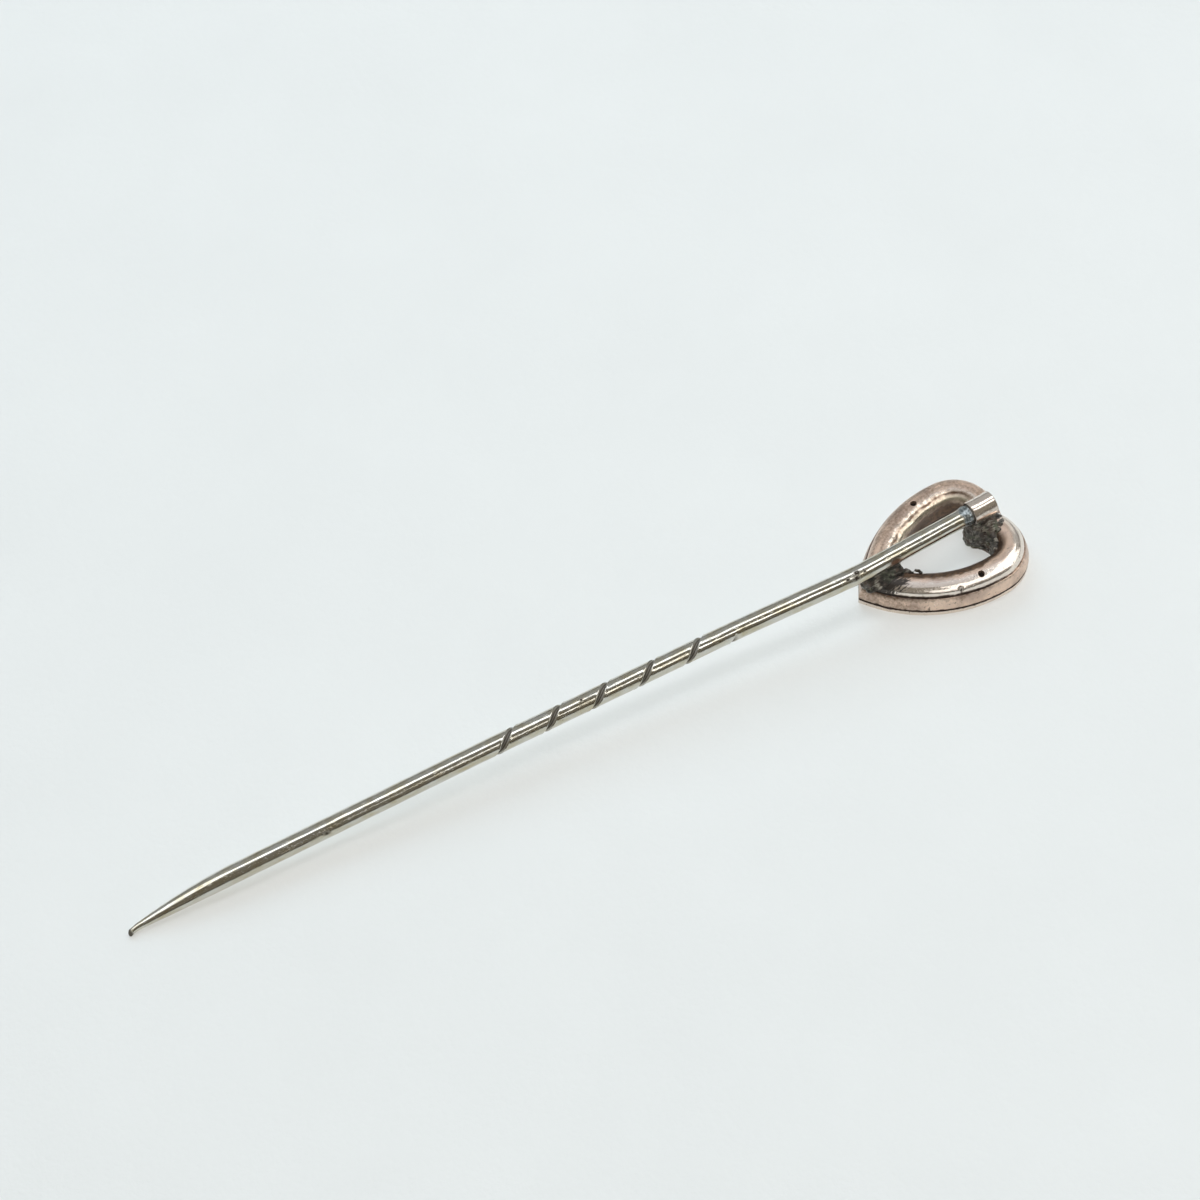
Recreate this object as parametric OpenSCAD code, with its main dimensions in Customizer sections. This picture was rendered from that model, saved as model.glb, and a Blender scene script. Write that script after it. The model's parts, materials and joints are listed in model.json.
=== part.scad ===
// Stick pin lying face down: a plain silver shank with a helical grip groove,
// soldered across the back of a hollow open heart of rose gold.
// Millimetres, +Z up. The origin is at the bottom centre of the whole pin, on
// the surface it lies on. +X runs along the shank, from its point to the heart.

/* [Shank] */
// Diameter of the round shank
shank_d = 1.12; // [1:0.02:1.3]
// Length along X from the sharp end to the heart's point
shank_len = 47; // [44:0.5:52]
// Length of the pointed end
taper_len = 7; // [5:0.5:9]
// Diameter of the blunted tip
tip_d = 0.3; // [0.2:0.02:0.4]
// Sideways offset of the tip from the shank's axis
tip_side = 0.17; // [0:0.01:0.17]
// Height of the shank's axis above the surface, at the tip
axis_at_tip = 0.52; // [0.5:0.01:0.54]
// Height of the shank's axis above the surface, at the heart's point
axis_at_heart = 3.03; // [2.96:0.01:3.1]

/* [Grip groove] */
// Distance from the tip to the start of the helical groove
groove_at = 22.9; // [18:0.1:26]
// Advance of the left-handed groove for each turn
groove_pitch = 3.05; // [2.6:0.05:3.2]
// Number of turns
groove_turns = 5.25; // [3:0.25:6]
// Width of the groove along the shank
groove_w = 0.42; // [0.2:0.02:0.6]
// Depth of the groove
groove_depth = 0.15; // [0.08:0.01:0.22]
// Direction that the groove starts in, from the +Y side towards the top
groove_phase = 241; // [0:1:359]

/* [Bends] */
// Plan bend of the grooved length, away from +X
groove_bend = -0.6; // [-1:0.1:0]
// Plan bend of the length between the groove and the heart
neck_bend = -2; // [-3:0.1:0]
// Plan turn of the heart, and of the stem across it
heart_turn = 4; // [0:0.5:5]
// Rise of the stem across the heart
heart_rise = 0.8; // [0:0.1:1.2]

/* [Heart outline] */
// Distance from the heart's point to the centres of its lobes, along its axis
lobe_x = 7.75; // [7.5:0.05:8]
// Distance of each lobe's centre from the heart's axis
lobe_y = 1.31; // [1.25:0.01:1.4]
// Radius of the lobes
lobe_r = 2.97; // [2.9:0.01:3.05]
// Radius of the long side curves
side_r = 8.57; // [8.2:0.01:9]

/* [Heart section] */
// Height of the front rim
rim_h = 0.46; // [0.4:0.01:0.5]
// Height at which the side band ends and the domed back starts
ridge_h = 1.38; // [1.34:0.01:1.42]
// Inward lean of the side band at that height
ridge_in = 0.26; // [0.2:0.01:0.28]
// Radius of the domed back
dome_r = 0.85; // [0.82:0.01:0.88]
// Distance of the dome's centre from the outer edge
dome_in = 1.15; // [1.13:0.01:1.17]
// Width of the heart's ring at its front
ring_w = 2.1; // [2.06:0.01:2.14]
// Thickness of the hollow back's wall
wall = 0.24; // [0.2:0.01:0.28]
// Radius of the rounding on the front rim's edges
rim_round = 0.14; // [0.1:0.01:0.18]
// Diameter of the two vent holes in the back
vent_d = 0.4; // [0.3:0.02:0.5]

/* [Fittings] */
// Outer diameter of the sleeve that holds the stem's end
sleeve_d = 1.48; // [1.44:0.02:1.52]
// Length of the sleeve
sleeve_len = 1.6; // [1.3:0.05:1.7]
// Distance from the heart's point to the sleeve's mouth, along the stem
sleeve_at = 7.85; // [7.7:0.05:7.95]

/* [Hidden] */
$fn = 64;

// Clearance between two pieces, and in the dark seam above the front rim
gap = 0.03;
seam_gap = 0.04;
// How far the dome's centre lies below the ridge
dome_drop = 0.06;
// How far the side curve is swept past the heart's axis before it is cut there
over_turn = 6;
// How far rods run into each other, and how much smaller a rod inside another is
overlap = 0.12;
seat = 0.008;
// Bead of bright solder on the stem at the sleeve's mouth
bead_len = 0.42;
bead_h = 0.14;
// How far the solder in the cleft lies below the dome's surface
cleft_sink = 0.12;
// Share of the rim's rounding at which its middle corner stands
corner = 0.3;
// How far a cutting shape runs past what it cuts
past = 2;
// Edge of the cube that keeps one half of the heart
big = 40;
shank_r = shank_d / 2;
tip_r = tip_d / 2;

// The stem's axis, from the tip to the heart
slope = atan((axis_at_heart - axis_at_tip) / shank_len);
groove_len = groove_pitch * groove_turns;
neck_at = groove_at + groove_len * cos(slope);
groove_y = (neck_at - groove_at) * tan(groove_bend);
point_y = groove_y + (shank_len - neck_at) * tan(neck_bend);
function on_axis(x, y) = [x, y, axis_at_tip + x * tan(slope)];
taper_end = on_axis(taper_len, 0);
groove_start = on_axis(groove_at, 0);
groove_end = on_axis(neck_at, groove_y);
heart_point = on_axis(shank_len, point_y);

// The heart's side curve passes through its point and runs smoothly into the lobe
lobe_reach = norm([lobe_x, lobe_y]);
side_cos = (pow(lobe_reach, 2) + 2 * side_r * lobe_r - pow(lobe_r, 2)) / (2 * side_r * lobe_reach);
side_dir = atan2(lobe_y, lobe_x) - acos(side_cos);
side_c = side_r * [cos(side_dir), sin(side_dir)];
blend_dir = atan2(lobe_y - side_c.y, lobe_x - side_c.x);
start_dir = side_dir + 180 + over_turn;

// The pin's box, for the place of the origin
far_end = lobe_x * cos(heart_turn) + lobe_y * sin(heart_turn) + lobe_r;
left_end = lobe_x * sin(heart_turn) + lobe_y * cos(heart_turn) + lobe_r;
right_end = lobe_x * sin(heart_turn) - lobe_y * cos(heart_turn) - lobe_r;
mid_x = (shank_len + far_end) / 2;
mid_y = point_y + (left_end + right_end) / 2;

// Outline of the cut in the heart's back that the solder fills at the cleft, in the heart's own plan
CLEFT_CUT = [
    [7.5, 0.52],
    [7.5, -0.6],
    [8.15, -0.95],
    [8.35, -1.4],
    [8.62, -1.8],
    [9.05, -1.55],
    [9.45, -1.3],
    [10.0, -1.0],
    [10.8, -0.8],
    [10.8, 0.3],
    [9.4, 0.62],
    [8.2, 0.62]
];

// Middle of that outline
CUT_MID = [9, -0.3];

// Block of solder that carries the stem at the cleft: its corner and its size
BLOCK_AT = [8.2, -0.5];
BLOCK_SIZE = [1.5, 1, 1.1];

// Direction of each vent round the side curve, and its distance in from the edge
FAR_VENT = [101, 1.08];
NEAR_VENT = [98, 0.92];

// Lumps of solder at the cleft: place along the heart's axis, place across it, height, radius
CLEFT_LUMPS = [
    [8.35, -0.45, 1.86, 0.42],
    [8.75, -1.05, 1.74, 0.46],
    [9.3, -0.6, 1.84, 0.44],
    [9.75, -0.3, 1.66, 0.42]
];

// Lumps of solder under the stem at the heart's point, in the same order
POINT_LUMPS = [
    [0.62, -0.16, 2.06, 0.44],
    [1.25, -0.34, 2.14, 0.46],
    [1.9, -0.46, 2.16, 0.44],
    [2.45, -0.36, 2.14, 0.4]
];

// Places its children, drawn in the pin's own plan with the tip at X = 0, in the final frame
module in_frame() {
    translate([-mid_x, -mid_y, 0]) children();
}

// Places its children, drawn with the heart's point at the origin and its axis along +X
module at_heart() {
    in_frame() translate([heart_point.x, heart_point.y, 0]) rotate([0, 0, heart_turn]) children();
}

// Places its children, drawn along +Z, on the stem where it crosses the heart
module on_heart_stem() {
    at_heart() translate([0, 0, heart_point.z]) rotate([0, 90 - heart_rise, 0]) children();
}

// A short step from one point towards another, by which rods run into each other
function along(from, to) = overlap * (to - from) / norm(to - from);

// A round rod between two points
module rod(from, to, r) {
    d = to - from;
    translate(from) rotate([0, atan2(norm([d.x, d.y]), d.z), atan2(d.y, d.x)]) cylinder(h = norm(d), r = r);
}

// One half of the heart: the children, drawn from the outline inwards along -X, follow its curves
module half_heart() {
    intersection() {
        union() {
            translate([side_c.x, side_c.y, 0]) rotate([0, 0, blend_dir])
                rotate_extrude(angle = start_dir - blend_dir) translate([side_r, 0]) children();
            translate([lobe_x, lobe_y, 0]) rotate([0, 0, -90])
                rotate_extrude(angle = blend_dir + 90) translate([lobe_r, 0]) children();
        }
        translate([-big / 2, 0, -big / 2]) cube(big);
    }
}

module whole_heart() {
    half_heart() children();
    mirror([0, 1, 0]) half_heart() children();
}

// Points along the domed top of a section, in short straight steps
function dome_points(r) = [
    for (a = [32:20:172]) [-dome_in + r * cos(a), ridge_h - dome_drop + r * sin(a)]
];

// Section of the back: a leaning side band under a dome, grown outwards by extra
module back_section(extra) {
    base = rim_h + seam_gap;
    polygon(concat(
        [[extra, base], [-ridge_in + extra, ridge_h + extra]],
        dome_points(dome_r + extra),
        [[-ring_w - extra, base]]
    ));
}

// Section of the hollow inside the back, open towards the front
module cavity_section() {
    base = rim_h + seam_gap;
    polygon(concat(
        [[-wall, base - past], [-wall, base], [-ridge_in - wall, ridge_h - dome_drop]],
        dome_points(dome_r - wall),
        [[-ring_w + wall, base], [-ring_w + wall, base - past]]
    ));
}

// A straight hole up through the back's wall
module vent(place) {
    translate([side_c.x, side_c.y, ridge_h]) rotate([0, 0, place[0]])
        translate([side_r - place[1], 0, 0]) cylinder(h = ridge_h + past, d = vent_d);
}

// The cut at the cleft, drawn in towards its middle by a clearance for each millimetre of reach
module cleft_cut(clearance) {
    k = 1 - clearance;
    translate([0, 0, rim_h + seam_gap + clearance]) linear_extrude(height = ridge_h + past)
        translate(clearance * CUT_MID) scale([k, k]) polygon(CLEFT_CUT);
}

module heart_back() {
    color("rosybrown") at_heart() difference() {
        whole_heart() back_section(0);
        whole_heart() cavity_section();
        vent(FAR_VENT);
        mirror([0, 1, 0]) vent(NEAR_VENT);
        cleft_cut(0);
    }
}

// The front rim, a flat ring with rounded edges
module heart_front() {
    color("rosybrown") at_heart() whole_heart() polygon([
        [0, rim_round],
        [0, rim_h],
        [-ring_w, rim_h],
        [-ring_w, rim_round],
        [-ring_w + corner * rim_round, corner * rim_round],
        [-ring_w + rim_round, 0],
        [-rim_round, 0],
        [-corner * rim_round, corner * rim_round]
    ]);
}

module stem_sleeve() {
    color("rosybrown") on_heart_stem() translate([0, 0, sleeve_at]) difference() {
        cylinder(h = sleeve_len, d = sleeve_d);
        translate([0, 0, -past]) cylinder(h = sleeve_len + 2 * past, r = shank_r + gap);
    }
}

// The pointed end leans towards its underside as it narrows
TAPER_RINGS = 10;
TAPER_SIDES = 32;
function taper_r(t) = tip_r + (shank_r - seat - tip_r) * sin(90 * t);
function taper_lean(t) = (shank_r - taper_r(t)) / (shank_r - tip_r);
function taper_c(t) = on_axis(tip_r + (taper_len - tip_r) * t, 0)
    - taper_lean(t) * [0, tip_side, axis_at_tip - tip_r];
function taper_ring(t) = [
    for (k = [0:TAPER_SIDES - 1])
    let (a = 360 * k / TAPER_SIDES)
    taper_c(t) + taper_r(t) * [sin(slope) * sin(a), cos(a), -cos(slope) * sin(a)]
];

module taper() {
    last = TAPER_RINGS * TAPER_SIDES;
    points = [for (i = [0:TAPER_RINGS]) each taper_ring(i / TAPER_RINGS)];
    sides = [
        for (i = [0:TAPER_RINGS - 1], k = [0:TAPER_SIDES - 1])
        let (n = (k + 1) % TAPER_SIDES, a = i * TAPER_SIDES)
        each [
            [a + k, a + n, a + TAPER_SIDES + n],
            [a + k, a + TAPER_SIDES + n, a + TAPER_SIDES + k]
        ]
    ];
    near_cap = [for (k = [0:TAPER_SIDES - 1]) TAPER_SIDES - 1 - k];
    far_cap = [for (k = [0:TAPER_SIDES - 1]) last + k];
    polyhedron(points, concat([near_cap, far_cap], sides));
    translate(taper_c(0) + [0, 0, seat]) sphere(r = tip_r + seat);
}

// The grooved length is a notched round section, twisted as it runs
GROOVE_SIDES = 36;
SLICES_A_TURN = 15;
module grooved_rod() {
    notch = 360 * groove_w / groove_pitch;
    floor_r = shank_r - groove_depth;
    linear_extrude(height = groove_len, twist = 360 * groove_turns, slices = SLICES_A_TURN * groove_turns)
        rotate(groove_phase + 90) difference() {
            circle(r = shank_r - seat, $fn = GROOVE_SIDES);
            polygon([
                [2 * shank_r * cos(notch / 2), -2 * shank_r * sin(notch / 2)],
                [floor_r * cos(notch / 3), -floor_r * sin(notch / 3)],
                [floor_r, 0],
                [floor_r * cos(notch / 3), floor_r * sin(notch / 3)],
                [2 * shank_r * cos(notch / 2), 2 * shank_r * sin(notch / 2)]
            ]);
        }
}

module pin_stem() {
    d = groove_end - groove_start;
    color("silver") in_frame() union() {
        taper();
        rod(taper_end - along(taper_end, groove_start), groove_start + along(taper_end, groove_start), shank_r);
        translate(groove_start) rotate([0, 90 - slope, atan2(d.y, d.x)]) grooved_rod();
        rod(groove_end - along(groove_end, heart_point), heart_point + along(groove_end, heart_point), shank_r);
    }
    color("silver") on_heart_stem() {
        translate([0, 0, -overlap]) cylinder(h = sleeve_at + sleeve_len, r = shank_r);
        translate([0, 0, sleeve_at - bead_len])
            cylinder(h = bead_len - gap, r1 = shank_r + seat, r2 = shank_r + bead_h);
    }
}

// Room for the stem and its sleeve through the solder
module stem_room() {
    on_heart_stem() {
        translate([0, 0, -past]) cylinder(h = sleeve_at + sleeve_len + 2 * past, r = shank_r + gap);
        translate([0, 0, sleeve_at - bead_len - gap]) cylinder(h = sleeve_len + past, d = sleeve_d + 2 * gap);
    }
}

module lumps(rows) {
    for (row = rows) translate([row[0], row[1], row[2]]) sphere(r = row[3]);
}

module point_solder() {
    color("dimgray") difference() {
        at_heart() lumps(POINT_LUMPS);
        at_heart() whole_heart() back_section(gap);
        stem_room();
    }
}

module cleft_solder() {
    color("dimgray") difference() {
        at_heart() intersection() {
            cleft_cut(gap);
            union() {
                whole_heart() back_section(-cleft_sink);
                lumps(CLEFT_LUMPS);
                translate([BLOCK_AT.x, BLOCK_AT.y, ridge_h]) cube(BLOCK_SIZE);
            }
        }
        stem_room();
    }
}

heart_back();
heart_front();
stem_sleeve();
pin_stem();
point_solder();
cleft_solder();
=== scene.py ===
# Looks of an antique stick pin that lies face down: a silver shank with a helical
# grip groove, soldered across the back of an open hollow heart of rose gold.

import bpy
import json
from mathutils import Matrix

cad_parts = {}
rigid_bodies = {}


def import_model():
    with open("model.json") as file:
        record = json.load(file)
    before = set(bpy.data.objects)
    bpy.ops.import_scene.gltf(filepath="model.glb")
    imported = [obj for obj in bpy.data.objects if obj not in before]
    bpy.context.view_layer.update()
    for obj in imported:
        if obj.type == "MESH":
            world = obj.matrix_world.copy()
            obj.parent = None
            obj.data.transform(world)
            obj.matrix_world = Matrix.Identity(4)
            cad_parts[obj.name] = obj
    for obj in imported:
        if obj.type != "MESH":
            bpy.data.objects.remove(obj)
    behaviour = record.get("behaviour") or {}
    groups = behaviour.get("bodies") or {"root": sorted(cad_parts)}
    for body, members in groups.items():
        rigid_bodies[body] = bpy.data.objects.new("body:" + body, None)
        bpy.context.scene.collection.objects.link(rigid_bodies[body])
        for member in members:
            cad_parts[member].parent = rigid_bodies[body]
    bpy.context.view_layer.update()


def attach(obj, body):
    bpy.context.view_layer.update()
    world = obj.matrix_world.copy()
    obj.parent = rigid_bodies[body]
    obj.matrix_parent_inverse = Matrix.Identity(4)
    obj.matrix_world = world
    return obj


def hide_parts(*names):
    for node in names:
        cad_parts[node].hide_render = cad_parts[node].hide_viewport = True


bl_info = {
    "name": "Heart stick pin",
    "version": (1, 0, 0),
    "blender": (4, 5, 0),
    "location": "3D View > Sidebar > Stick pin",
    "description": "Dresses the solids of a heart stick pin",
    "category": "Add Mesh",
}

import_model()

import json
import math

import bmesh
import bpy
from mathutils import Matrix, Vector, noise

MM = 0.001


def linear(code):
    """A colour written as sRGB hex, in linear light."""
    parts = [int(code[i:i + 2], 16) / 255 for i in (1, 3, 5)]
    return [c / 12.92 if c <= 0.04045 else ((c + 0.055) / 1.055) ** 2.4 for c in parts]


def size(name, description, length):
    """A length property, given in millimetres."""
    return bpy.props.FloatProperty(
        name=name, description=description, default=length * MM, unit="LENGTH",
        subtype="DISTANCE", precision=5)


def turn(name, description, degrees):
    return bpy.props.FloatProperty(
        name=name, description=description, default=math.radians(degrees), unit="ROTATION",
        subtype="ANGLE")


def hue(name, description, code):
    return bpy.props.FloatVectorProperty(
        name=name, description=description, default=linear(code), subtype="COLOR", size=3,
        min=0, max=1)


class StemSizes(bpy.types.PropertyGroup):
    shank_d: size("Shank", "Diameter of the round shank", 1.12)
    shank_len: size("Length", "From the tip to the heart's point, along X", 47)
    taper_len: size("Taper", "Length of the pointed end", 7)
    tip_d: size("Tip", "Diameter of the blunted tip", 0.3)
    tip_side: size("Tip offset", "Sideways offset of the tip", 0.17)
    tip_bulb: size("Tip bulb", "Swelling of the blunted tip", 0.035)
    hook: size("Hook", "Sideways hook of the last of the tip", 0.18)
    hook_len: size("Hook length", "Length of the tip that hooks", 0.75)
    axis_at_tip: size("Height at the tip", "Height of the shank's axis at the tip", 0.52)
    axis_at_heart: size("Height at the heart", "Height of the axis at the heart's point", 3.03)
    groove_at: size("Groove start", "From the tip to the grip groove", 22.9)
    groove_pitch: size("Groove pitch", "Advance of the groove for each turn", 3.05)
    groove_turns: bpy.props.FloatProperty(
        name="Groove turns", description="Number of turns of the groove", default=5.25, min=1)
    groove_w: size("Groove width", "Width of the groove along the shank", 0.42)
    groove_depth: size("Groove depth", "Depth of the groove", 0.15)
    groove_phase: turn("Groove phase", "Where the groove starts, from the +Y side upwards", 241)
    groove_bend: turn("Groove bend", "Plan bend of the grooved length", -0.6)
    neck_bend: turn("Neck bend", "Plan bend between the groove and the heart", -2)
    bend_soft: size("Bend softness", "Length over which a bend is spread", 1.1)
    sleeve_d: size("Sleeve", "Outer diameter of the sleeve", 1.48)
    sleeve_len: size("Sleeve length", "Length of the sleeve", 1.6)
    sleeve_at: size("Sleeve place", "From the heart's point to the sleeve", 7.85)
    sleeve_gap: size("Sleeve gap", "Between the stem and the sleeve", 0.03)
    stem_short: size("Stem end", "From the stem's end to the sleeve's end", 0.1)
    bead_gap: size("Bead gap", "From the bright solder to the sleeve's mouth", 0.1)
    bead_h: size("Bead height", "Height of the bright solder on the stem", 0.075)
    bead_len: size("Bead length", "Half length of the bright solder", 0.26)


class HeartSizes(bpy.types.PropertyGroup):
    heart_turn: turn("Turn", "Plan turn of the heart", 4)
    heart_rise: turn("Rise", "Rise of the stem across the heart", 0.8)
    lobe_x: size("Lobe place", "From the point to the lobes' centres", 7.75)
    lobe_y: size("Lobe offset", "From the heart's axis to a lobe's centre", 1.31)
    lobe_r: size("Lobe radius", "Radius of the lobes", 2.97)
    side_r: size("Side radius", "Radius of the long side curves", 8.57)
    rim_h: size("Rim height", "Height of the front rim", 0.46)
    seam: size("Seam", "Gap of the dark seam above the rim", 0.04)
    ridge_h: size("Ridge height", "Height where the side band ends", 1.38)
    ridge_in: size("Ridge inset", "Inward lean of the band at the ridge", 0.26)
    dome_r: size("Dome radius", "Radius of the domed back", 0.85)
    dome_in: size("Dome inset", "From the edge to the dome's centre", 1.15)
    ring_w: size("Ring width", "Width of the heart's ring", 2.1)
    wall: size("Wall", "Thickness of the hollow back", 0.24)
    vent_d: size("Vent", "Diameter of the two vent holes", 0.4)


class PinColours(bpy.types.PropertyGroup):
    rose: hue("Rose gold", "Clean rose gold", "#e2c9b6")
    # Partly rubbed gold, partly a painted highlight on the shoulders, crest and edges.
    rose_rub_and_sheen: hue("Rubbed shoulder", "Paler gold where the shoulders are rubbed", "#eadfd4")
    rose_dull: hue("Dull rose gold", "Rose gold under a thin grey-brown film", "#ab968a")
    # Both film colours also paint shade: the dark line at the dome's foot, the line before the far
    # lip and the sleeve's lower half.
    rose_film_and_shade: hue("Brown film", "Thick brown film on the inner slopes of the gold", "#54483f")
    rose_thin_film_and_shade: hue("Light brown film", "Thinner places of the brown film", "#7a6250")
    skin: hue("Solder skin", "Thin dark solder smeared on the gold", "#403b37")
    # Also painted shade in creases and corners: the dome's foot and the sleeve's underside and bore.
    rose_grime_and_shade: hue("Rose gold grime", "Dark dirt in corners of the gold", "#30251f")
    yellow_wear: hue("Rubbed gold", "Yellower gold where the inner edge is rubbed", "#e6dcc4")
    silver: hue("Silver", "Clean silver wire", "#d2d0c8")
    silver_warm: hue("Warm silver", "Silver under a thin warm tarnish", "#bcb296")
    silver_stain: hue("Brown stain", "Brown stain on the silver over the solder", "#6f5647")
    # Also the painted shade at the sleeve's mouth and under the wire there.
    silver_grime_and_shade: hue("Silver grime", "Dark tarnish in pits and grooves", "#3a3229")
    tin: hue("Bright solder", "Rough bright solder at the sleeve", "#b4bcbe")
    tin_dark: hue("Dull bright solder", "Hollows of the bright solder", "#6f7678")
    oxide: hue("Oxide", "Dark oxidised solder", "#706c68")
    oxide_brown: hue("Brown oxide", "Brown places of the oxidised solder", "#62564d")
    # Also the painted shade on the solder's masses.
    oxide_deep_and_shade: hue("Black oxide", "Darkest hollows of the solder", "#232322")
    oxide_green: hue("Green oxide", "Greenish places of the oxidised solder", "#737766")
    # Partly worn high spots, partly painted glints.
    oxide_wear_and_glint: hue("Light oxide", "Worn high spots of the solder", "#b4b0a4")
    floor: hue("Floor", "The pale matt surface below", "#dfe2e2")
    room_near: hue("Room", "The dim room towards the camera", "#7b766c")
    room_far: hue("Room beyond", "The dim room beyond the pin", "#a8aaaa")


def mm(group, name):
    """A length property in millimetres."""
    return getattr(group, name) / MM


class Layout:
    """Places of the pin's parts, in millimetres, worked out from the sizes."""

    def __init__(self, context):
        s, h = context.scene.pin_stem_sizes, context.scene.pin_heart_sizes
        length = mm(s, "shank_len")
        self.shank_r = mm(s, "shank_d") / 2
        self.tip_r = mm(s, "tip_d") / 2
        self.slope = math.atan((mm(s, "axis_at_heart") - mm(s, "axis_at_tip")) / length)
        groove_len = mm(s, "groove_pitch") * s.groove_turns
        start_x = mm(s, "groove_at")
        neck_x = start_x + groove_len * math.cos(self.slope)
        groove_y = (neck_x - start_x) * math.tan(s.groove_bend)
        point_y = groove_y + (length - neck_x) * math.tan(s.neck_bend)
        base = mm(s, "axis_at_tip")

        def on_axis(x, y):
            return Vector((x, y, base + x * math.tan(self.slope)))

        # The plan puts the middle of the pin's length and width at the origin.
        lobe = Vector((mm(h, "lobe_x"), mm(h, "lobe_y")))
        self.lobe, self.lobe_r, self.side_r = lobe, mm(h, "lobe_r"), mm(h, "side_r")
        cos_t, sin_t = math.cos(h.heart_turn), math.sin(h.heart_turn)
        far_end = lobe.x * cos_t + lobe.y * sin_t + self.lobe_r
        mid_x = (length + far_end) / 2
        mid_y = point_y + lobe.x * sin_t
        self.plan = Matrix.Translation((-mid_x, -mid_y, 0))
        point = on_axis(length, point_y)
        self.heart = (self.plan @ Matrix.Translation((point.x, point.y, 0))
                      @ Matrix.Rotation(h.heart_turn, 4, "Z"))
        self.rider = (self.heart @ Matrix.Translation((0, 0, point.z))
                      @ Matrix.Rotation(math.pi / 2 - h.heart_rise, 4, "Y"))
        self.groove = (start_x, groove_len)
        end = mm(s, "sleeve_at") + mm(s, "sleeve_len") - mm(s, "stem_short")
        self.path = [self.plan @ p for p in (
            on_axis(0, 0), on_axis(start_x, 0), on_axis(neck_x, groove_y), point)]
        self.path.append(self.rider @ Vector((0, 0, end)))
        self.sleeve_at = mm(s, "sleeve_at")
        # The long side curves meet on the heart's axis at its point and run into the lobes.
        reach = lobe.length
        side_cos = (reach ** 2 + 2 * self.side_r * self.lobe_r - self.lobe_r ** 2) / (
            2 * self.side_r * reach)
        side_dir = math.atan2(lobe.y, lobe.x) - math.acos(side_cos)
        self.side = self.side_r * Vector((math.cos(side_dir), math.sin(side_dir)))
        self.blend = math.atan2(lobe.y - self.side.y, lobe.x - self.side.x)
        self.start = side_dir + math.pi
        self.cleft = -math.asin(lobe.y / self.lobe_r)


# Mesh work

def new_object(bm, name):
    """Turns a mesh into an object of the scene."""
    mesh = bpy.data.meshes.new(name)
    bm.to_mesh(mesh)
    bm.free()
    made = bpy.data.objects.new(name, mesh)
    bpy.context.scene.collection.objects.link(made)
    return made


def finish(bm, name, slot, cad_node, place=None):
    """Turns a mesh in millimetres into a smooth piece of the pin that stands for a CAD node."""
    bm.transform(Matrix.Scale(MM, 4) @ (place or Matrix.Identity(4)))
    piece = new_object(bm, name)
    for face in piece.data.polygons:
        face.use_smooth = True
    piece.data.materials.append(MATERIALS[slot])
    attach(piece, "root")
    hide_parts(cad_node)
    return piece


def new_layers(bm, *names):
    """Gives each point of a mesh a number under each name. Materials read these as attributes."""
    return [bm.verts.layers.float.new(name) for name in names]


def soft_step(low, high, x):
    t = min(max((x - low) / (high - low), 0), 1)
    return t * t * (3 - 2 * t)


def bump(x, centre, width):
    return math.exp(-((x - centre) / width) ** 2)


def rough(point, period, seed=0.0):
    """Smooth noise from -1 to 1 that repeats no sooner than its period, in millimetres."""
    return noise.noise(Vector(point) / period + Vector((seed, seed * 1.7, -seed)))


def arc(u, z, r, start, end, steps):
    """Points on an arc round (u, z), from one angle to the other in degrees."""
    angles = [math.radians(start + (end - start) * k / steps) for k in range(steps + 1)]
    return [(u + r * math.cos(a), z + r * math.sin(a)) for a in angles]


def closed_line(bm, points):
    """Joins points into a closed line, and returns its points and then its edges."""
    made = [bm.verts.new(p) for p in points]
    return made + [bm.edges.new(pair) for pair in zip(made, made[1:] + made[:1])]


def weld(bm):
    """Joins points that fall together, and turns the faces outwards."""
    bmesh.ops.remove_doubles(bm, verts=bm.verts, dist=0.0008)
    bmesh.ops.recalc_face_normals(bm, faces=bm.faces)


def tube(bm, stations, sides, radius):
    """Runs a ring along stations of (centre, along, position): radius gives each point's distance."""
    angle, reach = new_layers(bm, "angle", "reach")
    made = bmesh.ops.create_circle(bm, segments=sides, radius=1, cap_ends=False)
    ring = made["verts"]
    for v in ring:
        v[angle] = math.atan2(v.co.y, v.co.x)
    edges = list({e for v in ring for e in v.link_edges})
    for i, (centre, along, at) in enumerate(stations):
        if i:
            made = bmesh.ops.extrude_edge_only(bm, edges=edges)["geom"]
            ring = [g for g in made if isinstance(g, bmesh.types.BMVert)]
            new = set(ring)
            edges = [g for g in made if isinstance(g, bmesh.types.BMEdge)
                     and g.verts[0] in new and g.verts[1] in new]
        side = Vector((0, 0, 1)).cross(along).normalized()
        up = along.cross(side)
        for v in ring:
            a = v[angle]
            v[reach] = at
            v.co = centre + radius(at, a) * (math.cos(a) * side + math.sin(a) * up)
        if i == 0:
            first = list(edges)
    bmesh.ops.holes_fill(bm, edges=first + edges, sides=0)


# Materials

def is_socket(part):
    return isinstance(part, bpy.types.NodeSocket)


def plug(tree, made, inputs):
    """Links each input of a node to a socket, or sets it to a value."""
    for key, part in inputs.items():
        if is_socket(part):
            tree.links.new(part, made.inputs[key])
        else:
            made.inputs[key].default_value = part


def node(tree, kind, inputs=None, **settings):
    """Adds a shader node with its settings and its inputs."""
    made = tree.nodes.new("ShaderNode" + kind)
    for key, value in settings.items():
        setattr(made, key, value)
    plug(tree, made, inputs or {})
    return made


def new_material(name, places="Object"):
    """A material, its node tree and a socket with the places that its textures use."""
    material = bpy.data.materials.new(name)
    material.use_nodes = True
    tree = material.node_tree
    return material, tree, node(tree, "TexCoord").outputs[places]


def colour(value):
    return (*value, 1)


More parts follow.
